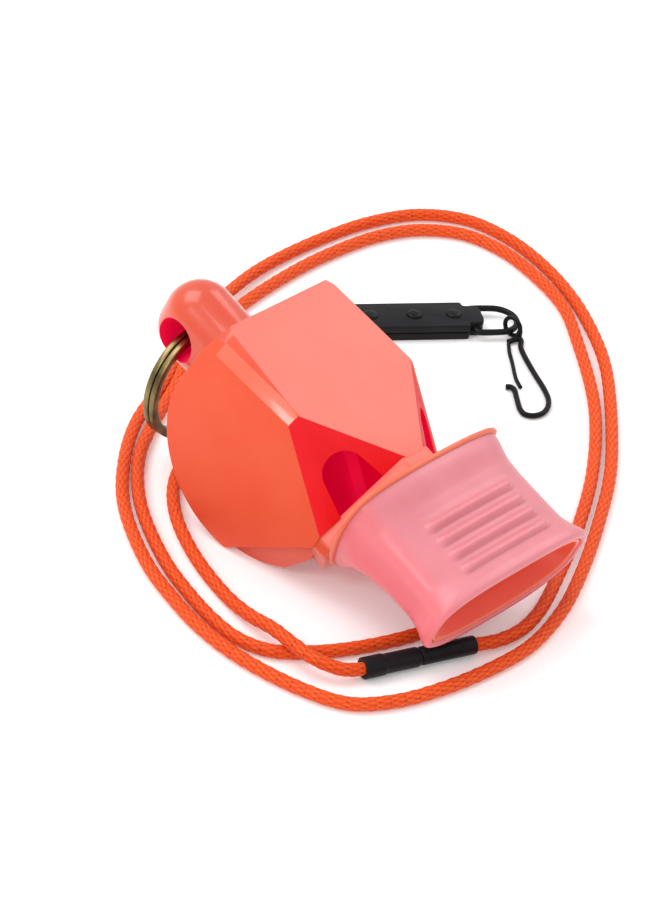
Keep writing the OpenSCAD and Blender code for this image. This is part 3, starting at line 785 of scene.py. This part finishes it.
def section_ring(s, k):
    """k points round one squarish section: x, half width, bottom, top, forward lean."""
    x, half, low, high, lean = s
    ring = []
    for i in range(k):
        a = 2 * math.pi * i / k
        c, d = math.cos(a), math.sin(a)
        y = half * math.copysign(abs(c) ** (2 / SQUARENESS), c)
        z = (low + high) / 2 + (high - low) / 2 * math.copysign(abs(d) ** (2 / SQUARENESS), d)
        bow = 1 - 0.6 * (y / half) ** 2
        ring.append(Vector((x + lean * (0.9 - z) * bow, y, z)))
    return ring


def between(sections, count):
    """Sections evenly spaced along a smooth change of the given ones."""
    out = []
    n = len(sections)
    for i in range(count + 1):
        t = i * (n - 1) / count
        j = min(n - 2, int(t))
        w = t - j
        a, b = sections[max(0, j - 1)], sections[j]
        c, d = sections[j + 1], sections[min(n - 1, j + 2)]
        out.append([0.5 * (2 * q + (r - p) * w + (2 * p - 5 * q + 4 * r - s) * w * w
                           + (3 * q - p - 3 * r + s) * w ** 3) for p, q, r, s in zip(a, b, c, d)])
    return out


GRIP = [(25.8, 11.9, -13.0, 1.9, 0), (26.4, 11.85, -12.2, 1.7, 0), (27.0, 11.8, -11.5, 1.5, 0),
        (28.0, 11.7, -10.5, 1.3, 0), (29.5, 11.65, -9.5, 1.1, 0), (31.0, 11.6, -8.9, 0.9, 0),
        (33.0, 11.6, -8.4, 0.8, 0.01), (35.3, 11.6, -8.2, 0.8, 0.02), (37.5, 11.7, -8.2, 0.8, 0.03),
        (38.9, 12.1, -8.3, 1.0, 0.04), (39.75, 12.5, -8.5, 1.2, 0.05),
        (40.4, 12.75, -8.5, 1.2, 0.05), (40.75, 12.65, -8.4, 1.1, 0.05)]
LIP = [(40.95, 12.35, -8.15, 0.85, 0.05), (40.9, 12.0, -7.85, 0.6, 0.05),
       (40.7, 11.82, -7.62, 0.32, 0.05), (39.95, 11.42, -7.62, 0.02, 0.05),
       (39.1, 10.82, -7.42, -0.48, 0.04)]
TUBE = [(39.75, 11.25, -7.55, -0.1, 0.05), (40.55, 11.7, -7.58, 0.24, 0.05),
        (40.75, 11.6, -7.5, 0.15, 0.05), (40.7, 11.3, -7.2, -0.12, 0.05),
        (40.4, 11.1, -7.05, -0.3, 0.05)]
MOUTH_FORM = [(39.5, 10.4, -6.8, -0.9, 0.05), (38.1, 9.4, -6.4, -1.6, 0.04),
              (36.8, 9.3, -6.35, -1.65, 0.03), (35.7, 9.2, -6.3, -1.7, 0.02)]
RIDGE_X, RIDGE_STEP, RIDGES, RIDGE_HALF = 31.9, 1.97, 4, 6.9


def ease(t):
    t = min(1.0, max(0.0, t))
    return t * t * (3 - 2 * t)


def ridge_lift(x, y):
    """Raised bars across the grip, and the shallow hollow that they stand in."""
    lift = -0.06 * ease((x - 30.4) / 0.7) * ease((38.6 - x) / 0.7) * ease((8.0 - abs(y)) / 0.8)
    for i in range(RIDGES):
        d = abs(x - (RIDGE_X + i * RIDGE_STEP)) / 0.55
        end = ease((RIDGE_HALF - abs(y)) / 0.6 + 0.5)
        if d < 1:
            lift += 0.72 * math.sqrt(1 - d * d) * end
    return lift


def skin(rings, k):
    """Faces between neighbouring rings of k points."""
    faces = []
    for i in range(len(rings) - 1):
        for j in range(k):
            m = (j + 1) % k
            faces.append((i * k + j, (i + 1) * k + j, (i + 1) * k + m, i * k + m))
    return faces


def flange_reach(share):
    """The flange outline's distance from its middle, by direction."""
    rim = sorted((math.atan2(z - MIDDLE_Z, y), math.hypot(y, z - MIDDLE_Z))
                 for y, z in flange_outline(share))
    rim = [(rim[-1][0] - 2 * math.pi, rim[-1][1])] + rim + [(rim[0][0] + 2 * math.pi, rim[0][1])]

    def reach(angle):
        for (a, r), (b, q) in zip(rim, rim[1:]):
            if a <= angle <= b:
                return r + (q - r) * (angle - a) / max(1e-9, b - a)
        return rim[0][1]
    return reach


def follow_flange(ring, reach, share):
    """Draw a ring towards the flange outline: 1 is on it, 0 leaves the ring alone."""
    for p in ring:
        angle = math.atan2(p.z - MIDDLE_Z, p.y)
        r = math.hypot(p.y, p.z - MIDDLE_Z)
        k = 1 + share * (reach(angle) / r - 1)
        p.y *= k
        p.z = MIDDLE_Z + (p.z - MIDDLE_Z) * k


def make_grip():
    k = 144
    reach = flange_reach(0.955)
    count = 110
    outer = between(GRIP, count)
    rings = []
    for s in outer:
        ring = section_ring(s, k)
        for p in ring:
            up = (p.z - (s[2] + s[3]) / 2) / ((s[3] - s[2]) / 2)
            if abs(up) > 0.6:
                p.z += math.copysign(ridge_lift(p.x, p.y) * ease((abs(up) - 0.6) / 0.3), up)
        follow_flange(ring, reach, 1 - ease((s[0] - 25.8) / 3.7))
        rings.append(ring)
    # the rear edge is tucked into the flange
    start = [section_ring((25.55, 11.9, -13.0, 1.9, 0), k)]
    follow_flange(start[0], flange_reach(0.94), 1)
    rings = start + rings + [section_ring(s, k) for s in between(LIP, 12)]
    verts = [p for ring in rings for p in ring]
    faces = skin(rings, k)
    o = object_from("rubber_grip", verts, faces, [grip_mat], place=AT_REST)
    # painted shade: 'turn' rises on the side walls and the underside
    turn = []
    for r in rings:
        half = max(abs(p.y) for p in r)
        low, high = min(p.z for p in r), max(p.z for p in r)
        for p in r:
            side = ease((abs(p.y) / half - 0.80) / 0.2)
            underside_shade = ease((0.55 - (p.z - low) / (high - low)) / 0.5)
            turn.append(min(1.0, 0.75 * side + 0.5 * underside_shade))
    layer = o.data.attributes.new("turn", "FLOAT", "POINT")
    layer.data.foreach_set("value", turn)
    face_outwards(o)
    return finish_piece(o, "whistle", "grip", "mouth_grip")


def make_mouthpiece():
    """Collar, flange, and the hard mouthpiece seen inside the grip's lip."""
    # flange: a thin plate with a rounded edge
    verts, faces = [], []
    profile = [(25.2, 0.965), (25.25, 0.985), (25.38, 0.998), (25.62, 0.998), (25.75, 0.985),
               (25.8, 0.965)]
    ring = len(flange_outline(1))
    for x, share in profile:
        verts += [(x, y, z) for y, z in flange_outline(share)]
    for i in range(len(profile) - 1):
        for j in range(ring):
            m = (j + 1) % ring
            faces.append((i * ring + j, i * ring + m, (i + 1) * ring + m, (i + 1) * ring + j))
    faces.append(tuple(range(ring)))
    faces.append(tuple(reversed(range((len(profile) - 1) * ring, len(profile) * ring))))
    # the flange in the lighter painted-highlight copy
    flange = object_from("flange", verts, faces, [flange_highlight_mat], place=AT_REST)
    face_outwards(flange)
    for f in flange.data.polygons[-2:]:
        f.use_smooth = False
    # neck behind it
    neck = [(-2.0, -0.02), (2.0, -0.02), (10.2, -9.4), (10.25, -11), (8.7, -13.9), (-8.7, -13.9),
            (-10.25, -11), (-10.2, -9.4)]
    bm = bmesh.new()
    a = [bm.verts.new((NECK_X - 0.3, y, z)) for y, z in neck]
    b = [bm.verts.new((25.3, y, z)) for y, z in neck]
    bm.faces.new(a)
    bm.faces.new(b)
    for i in range(len(neck)):
        j = (i + 1) % len(neck)
        bm.faces.new((a[i], a[j], b[j], b[i]))
    bmesh.ops.recalc_face_normals(bm, faces=bm.faces)
    collar = object_of("collar", bm, core_mats, lambda f: TOP if f.normal.z > 0.4 else PLAIN)
    soften(collar, 0.25)
    smooth_by_angle(collar, 30)
    to_rest(collar)
    # mouth
    k = 96
    rings = [section_ring(s, k) for s in between(TUBE, 14)]
    rings += [section_ring(s, k) for s in between(MOUTH_FORM, 16)]
    verts = [p for r in rings for p in r]
    faces = skin(rings, k)
    faces.append(tuple(range((len(rings) - 1) * k, len(rings) * k)))
    mouth = object_from("mouth", verts, faces, [mouth_mat, flange_highlight_mat], place=AT_REST)
    # the front rings of the mouth take the same painted highlight
    for f in mouth.data.polygons[:12 * k]:
        f.material_index = 1
    face_outwards(mouth)
    for part in (flange, collar, mouth):
        finish_piece(part, "whistle", "housing", "body_core")


make_grip()
make_mouthpiece()


# ---------------------------------------------------------------- split ring
def make_ring():
    """Two flat turns of wire, the second beside the first, crossing over once."""
    cx, cz = -21.8525, 16.5454 - 6.9
    mid, deep, wide = 6.5, 0.48, 0.38
    steps = 220
    verts, faces = [], []
    corner = 0.16
    shape = []
    for sx, sy, a0 in ((1, 1, 0), (-1, 1, 90), (-1, -1, 180), (1, -1, 270)):
        for j in range(4):
            a = math.radians(a0 + 30 * j)
            shape.append((sx * (deep - corner) + corner * math.cos(a),
                          sy * (wide - corner) + corner * math.sin(a)))
    k = len(shape)
    turns = 1.97
    for i in range(steps + 1):
        t = turns * i / steps
        a = math.radians(20) + 2 * math.pi * t
        shift = -0.44 + 0.88 * ease((t - 0.93) / 0.12)
        for u, w in shape:
            r = mid + u
            verts.append((cx + shift + w, r * math.cos(a), cz + r * math.sin(a)))
    for i in range(steps):
        for j in range(k):
            m = (j + 1) % k
            faces.append((i * k + j, i * k + m, (i + 1) * k + m, (i + 1) * k + j))
    faces.append(tuple(reversed(range(k))))
    faces.append(tuple(range(steps * k, (steps + 1) * k)))
    o = object_from("key_ring", verts, faces, [brass])
    smooth_by_angle(o, 40)
    return finish_piece(o, "ring", "ring", "split_ring")


make_ring()


# ---------------------------------------------------------------- tab
TAB_TURN = 54.4
TAB = axis_place(-17.5, 48.5, 0, TAB_TURN)
TAB_L, TAB_HALF, TAB_T, TONGUE = 17.0, 2.7, 2.0, 1.9
FLIP_BAR, FLIP_OUT, FLIP_HALF = -1.2, 1.8, 2.64
RIVET_X = (-14, -8.5, -3.6)


def tab_outline():
    """One half from the cord end to the tongue, then its mirror image."""
    r = 1.15
    x0, x1 = -TAB_L, FLIP_BAR - 0.8
    pts = arc(x0 + r, -TAB_HALF + r, r, 180, 270, 6)
    q = 0.4
    pts += arc(x1 - q, -TAB_HALF + q, q, 270, 360, 4)
    pts += [(x1, -TONGUE)]
    pts += arc(-1.0, -TONGUE + 1.0, 1.0, 270, 360, 5)
    return pts + [(x, -y) for x, y in reversed(pts)]


def make_tab():
    """Two shells, and the rivet heads on the upper one."""
    outline = tab_outline()
    for name, z0, z1, node in (("tab_lower", 0.0, TAB_T / 2 - 0.02, "tab_lower_shell"),
                               ("tab_upper", TAB_T / 2 + 0.02, TAB_T, "tab_upper_shell")):
        bm = bmesh.new()
        low = [bm.verts.new((x, y, z0)) for x, y in outline]
        high = [bm.verts.new((x, y, z1)) for x, y in outline]
        bm.faces.new(list(reversed(low)))
        bm.faces.new(high)
        n = len(outline)
        for i in range(n):
            j = (i + 1) % n
            bm.faces.new((low[i], low[j], high[j], high[i]))
        bmesh.ops.recalc_face_normals(bm, faces=bm.faces)
        o = object_of(name, bm, [black])
        soften(o, 0.22, 50, 3)
        smooth_by_angle(o, 35)
        o.data.transform(Matrix.Scale(MM, 4) @ TAB)
        o.data.update()
        finish_piece(o, "lanyard", "tab", node)
    verts, faces = [], []
    dome = [(1.7, 0), (1.7, 0.9), (2.04, 0.98), (2.16, 0.92), (2.27, 0.72), (2.33, 0.4), (2.35, 0)]
    for x in RIVET_X:
        v, f = lathe_points(dome, 28)
        base = len(verts)
        verts += [(x + b, c, a) for a, b, c in v]
        faces += [tuple(base + i for i in g) for g in f]
    o = object_from("tab_rivet_heads", verts, faces, [black_wire], place=TAB)
    smooth_by_angle(o, 40)
    finish_piece(o, "lanyard", "rivet", "tab_rivets")


make_tab()


# ---------------------------------------------------------------- flip ring and hook
def make_wires():
    """The tab's ring, then the hook: bow, eye, post and gate."""
    z = TAB_T / 2
    line = [(FLIP_BAR, -FLIP_HALF + 0.5), (FLIP_BAR, 0), (FLIP_BAR, FLIP_HALF - 0.5),
            (FLIP_BAR + 0.15, FLIP_HALF - 0.15), (FLIP_BAR + 0.5, FLIP_HALF)]
    line += [(FLIP_OUT + FLIP_HALF * math.cos(math.radians(a)),
              FLIP_HALF * math.sin(math.radians(a))) for a in range(90, -91, -15)]
    line += [(FLIP_BAR + 0.5, -FLIP_HALF), (FLIP_BAR + 0.15, -FLIP_HALF + 0.15)]
    path = curve_through([(x, y, z) for x, y in line], 0.22, closed=True)
    path = [TAB @ p for p in path]
    o = tube("flip_ring", path, 0.39, 16, [black_wire], closed=True)
    finish_piece(o, "flip_ring", "black_wire", "tab_ring")

    eye_at, eye_r, eye_z = -53.8, 1.15, 1.43
    e = TAB @ Vector((FLIP_OUT + FLIP_HALF * math.cos(math.radians(eye_at)),
                      FLIP_HALF * math.sin(math.radians(eye_at)), 0))
    turn = math.radians(TAB_TURN + eye_at)
    across = Vector((math.cos(turn), math.sin(turn), 0))
    bow = [(-12.9, 48.25, 0.4), (-12.75, 48.85, 0.42), (-12.6, 49.3, 0.5), (-12.42, 49.72, 0.55),
           (-11.95, 49.55, 0.5), (-11.2, 48.6, 0.4), (-10.1, 47.7, 0.4), (-6.7, 45.5, 0.4),
           (-3.2, 43.4, 0.4), (-1.6, 42.1, 0.4), (-0.6, 40.6, 0.4), (-0.3, 39.2, 0.4), (-0.7, 38.0, 0.4),
           (-1.5, 37.5, 0.4), (-2.4, 37.8, 0.4), (-4.3, 39.4, 0.4), (-5.7, 40.6, 0.4),
           (-6.3, 40.7, 0.4), (-6.7, 40.3, 0.4)]
    parts = [tube("hook_wire", curve_through(bow, 0.15), 0.34, 16, [black_wire])]
    middle = Vector((e.x, e.y, eye_z))
    loop = [middle + across * (eye_r * math.cos(a)) + Vector((0, 0, eye_r * math.sin(a)))
            for a in (2 * math.pi * i / 56 for i in range(56))]
    verts, faces = [], []
    out = across.cross(Vector((0, 0, 1)))
    k = 14
    for i, p in enumerate(loop):
        away = (p - middle).normalized()
        for j in range(k):
            b = 2 * math.pi * j / k
            verts.append(p + (away * math.cos(b) + out * math.sin(b)) * 0.275)
    n = len(loop)
    for i in range(n):
        for j in range(k):
            m = (j + 1) % k
            a, b = i * k, ((i + 1) % n) * k
            faces.append((a + j, b + j, b + m, a + m))
    parts.append(object_from("hook_eye", verts, faces, [black_wire]))
    v, f = lathe_points(rounded([(0.02, 0), (0.02, 0.35), (eye_z, 0.35), (eye_z, 0)], 0.12), 20)
    parts.append(object_from("hook_post", [(-12.6 + b, 49.9 + c, a) for a, b, c in v], f,
                             [black_wire]))
    for o in parts:
        finish_piece(o, "hook", "black_wire", "hook_bow")
    gate = [(-12.5, 47.86, 0.4), (-12.0, 47.3, 0.4), (-11.2, 46.45, 0.4), (-9.7, 45.1, 0.4),
            (-6.9, 42.5, 0.4), (-5.5, 41.6, 0.4)]
    o = tube("gate_wire", curve_through(gate, 0.15), 0.245, 14, [black_wire])
    finish_piece(o, "gate", "black_wire", "hook_gate")


make_wires()


# ---------------------------------------------------------------- stage
def make_stage():
    bpy.ops.mesh.primitive_plane_add(size=6)
    floor = bpy.context.object
    floor.name = "floor"
    m = Nodes("floor_white")
    m.set(Base_Color=(0.9, 0.9, 0.9, 1), Roughness=0.9, Emission_Color=(1, 1, 1, 1),
          Emission_Strength=0.15)
    floor.data.materials.append(m.mat)
    world = bpy.data.worlds.new("world")
    world.use_nodes = True
    world.node_tree.nodes["Background"].inputs[0].default_value = (1, 1, 1, 1)
    world.node_tree.nodes["Background"].inputs[1].default_value = 0.75
    scene.world = world

    def area(name, at, size, power):
        data = bpy.data.lights.new(name, "AREA")
        data.size, data.energy = size, power
        lamp = bpy.data.objects.new(name, data)
        scene.collection.objects.link(lamp)
        lamp.location = at
        lamp.rotation_euler = (-Vector(at)).to_track_quat("-Z", "Y").to_euler()

    area("key", (-0.5, -0.2, 0.9), 0.7, 5)
    area("fill", (0.8, -0.6, 0.6), 0.9, 1)
    area("front", (-0.03, -0.65, 0.52), 0.2, 1.3)
    area("rim", (0.05, 0.9, 0.9), 0.6, 3)
    scene.view_settings.view_transform = "Standard"


make_stage()
